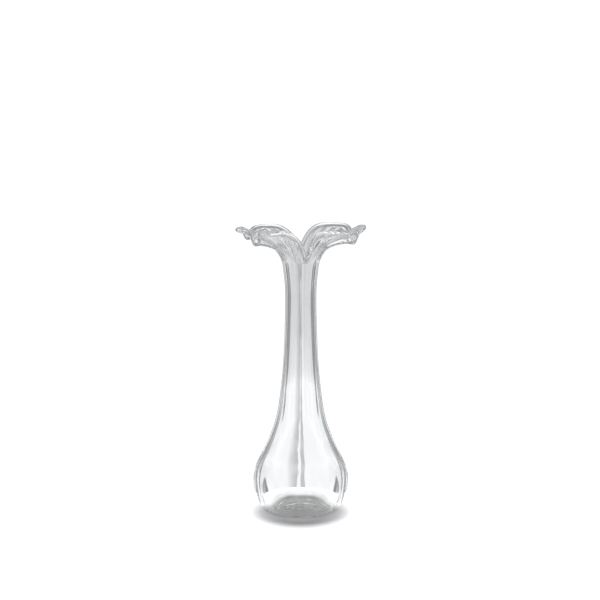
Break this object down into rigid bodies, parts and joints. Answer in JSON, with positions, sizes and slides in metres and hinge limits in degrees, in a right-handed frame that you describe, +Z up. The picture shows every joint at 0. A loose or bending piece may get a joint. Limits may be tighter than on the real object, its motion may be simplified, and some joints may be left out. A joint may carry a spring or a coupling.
{
  "type": "bud vase",
  "caption": "Clear hand-blown glass bud vase with a lobed pear-shaped bulb, a thick flat heel, a long slender neck and a flared ruffled petal rim.",
  "frame": {"origin": "middle of the foot, on the surface the vase stands on", "axes": "+Z up the neck, +X through the middle of the right-hand petal, front of the vase towards -Y"},
  "size_m": [0.0892, 0.0706, 0.2],
  "materials": {
    "glass": "clear fire-polished glass with a faint grey-green body"
  },
  "bodies": {
    "root": {"heel": "glass", "pontil_mark": "glass", "bulb": "glass", "neck": "glass", "throat": "glass", "petal_right": "glass", "petal_back_right": "glass", "petal_back_left": "glass", "petal_left": "glass", "petal_front_left": "glass", "petal_front_right": "glass"}
  },
  "joints": []
}
